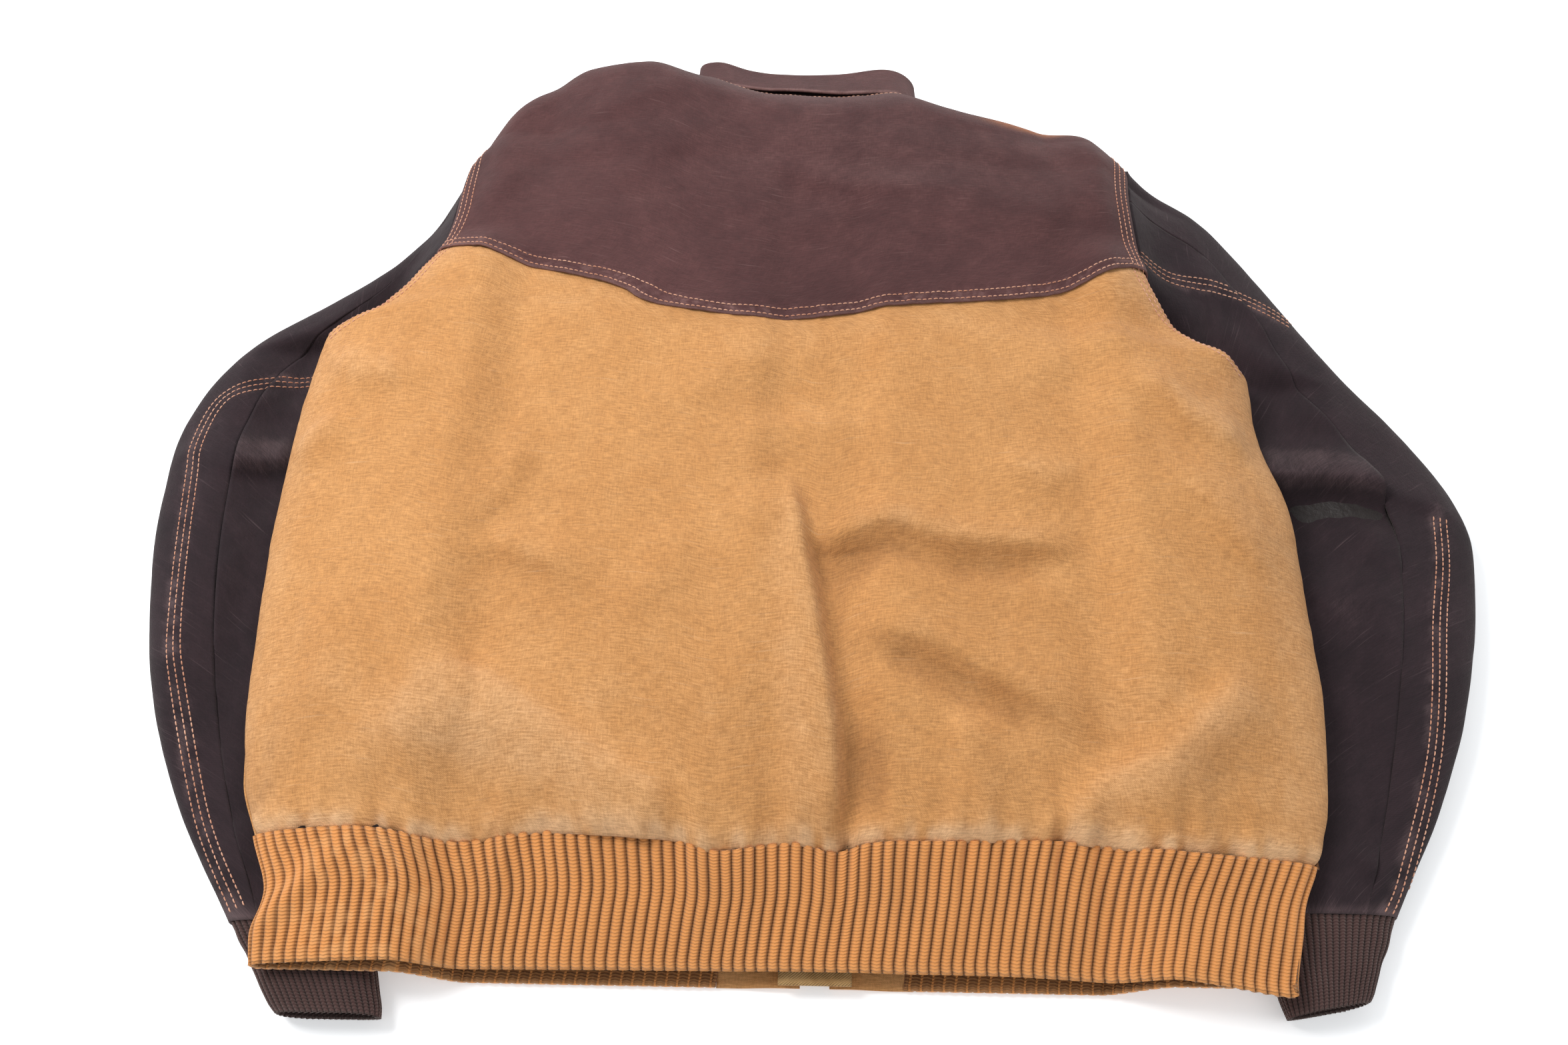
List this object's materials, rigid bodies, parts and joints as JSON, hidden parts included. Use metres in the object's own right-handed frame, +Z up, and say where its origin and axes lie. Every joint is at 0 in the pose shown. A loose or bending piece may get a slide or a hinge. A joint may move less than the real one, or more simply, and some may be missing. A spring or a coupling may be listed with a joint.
{
  "type": "work jacket",
  "caption": "Two-tone canvas work jacket laid face down with its sleeves folded down: yoked back, collar, rib waistband and cuffs, zip front and flap pockets.",
  "frame": {"origin": "bottom centre of the whole jacket as it lies face down", "axes": "+Z up out of the back, +Y from the hem to the collar, the wearer's left is -X"},
  "size_m": [0.9312, 0.803, 0.0962],
  "materials": {
    "tan_duck": "worn cotton duck canvas",
    "brown_duck": "worn cotton duck canvas",
    "tan_rib": "rib knit",
    "brown_rib": "rib knit",
    "quilt": "quilted nylon",
    "twill": "cotton twill and woven tape",
    "brass": "worn antique brass"
  },
  "bodies": {
    "torso": {"back_panel": "tan_duck", "back_yoke": "brown_duck", "back_lining": "quilt", "left_front_panel": "tan_duck", "right_front_panel": "tan_duck", "left_front_yoke": "brown_duck", "right_front_yoke": "brown_duck", "left_front_lining": "quilt", "right_front_lining": "quilt", "left_waist_tab": "tan_duck", "right_waist_tab": "tan_duck", "waistband": "tan_rib", "collar_stand": "brown_duck", "collar_leaf": "brown_duck", "hanger_loop": "brown_duck", "left_zip_tape": "twill", "right_zip_tape": "twill", "left_zip_teeth": "brass", "right_zip_teeth": "brass", "left_zip_stop": "brass", "right_zip_stop": "brass", "zip_box": "brass", "zip_guard": "twill", "left_pocket": "tan_duck", "right_pocket": "tan_duck", "left_snap_stud": "brass", "right_snap_stud": "brass", "left_hand_welt": "brown_duck", "right_hand_welt": "brown_duck"},
    "left_sleeve": {"left_sleeve_top": "brown_duck", "left_sleeve_under": "brown_duck", "left_sleeve_lining": "quilt", "left_cuff": "brown_rib"},
    "right_sleeve": {"right_sleeve_top": "brown_duck", "right_sleeve_under": "brown_duck", "right_sleeve_lining": "quilt", "right_cuff": "brown_rib"},
    "slider": {"zip_slider": "brass"},
    "pull": {"zip_pull": "brass"},
    "left_flap": {"left_pocket_flap": "brown_duck", "left_snap_cap": "brass"},
    "right_flap": {"right_pocket_flap": "brown_duck", "right_snap_cap": "brass"}
  },
  "joints": [
    {"name": "left_sleeve_swing", "type": "hinge", "parent": "torso", "child": "left_sleeve", "pos_m": [-0.2965, 0.26345, 0.03], "axis": [0, 0, 1], "range_deg": [-26, 0]},
    {"name": "right_sleeve_swing", "type": "hinge", "parent": "torso", "child": "right_sleeve", "pos_m": [0.2765, 0.27145, 0.03], "axis": [0, 0, 1], "range_deg": [0, 26]},
    {"name": "zip_slide", "type": "slide", "parent": "torso", "child": "slider", "axis": [0, -1, 0], "range_m": [0, 0.57]},
    {"name": "zip_pull_hinge", "type": "hinge", "parent": "slider", "child": "pull", "pos_m": [0.0085, 0.24195, 0.00185], "axis": [1, 0, 0], "range_deg": [0, 90]},
    {"name": "left_flap_hinge", "type": "hinge", "parent": "torso", "child": "left_flap", "pos_m": [-0.1475, 0.02445, 0.0055], "axis": [1, 0, 0], "range_deg": [0, 95]},
    {"name": "right_flap_hinge", "type": "hinge", "parent": "torso", "child": "right_flap", "pos_m": [0.1485, 0.02445, 0.0055], "axis": [1, 0, 0], "range_deg": [0, 95]}
  ]
}
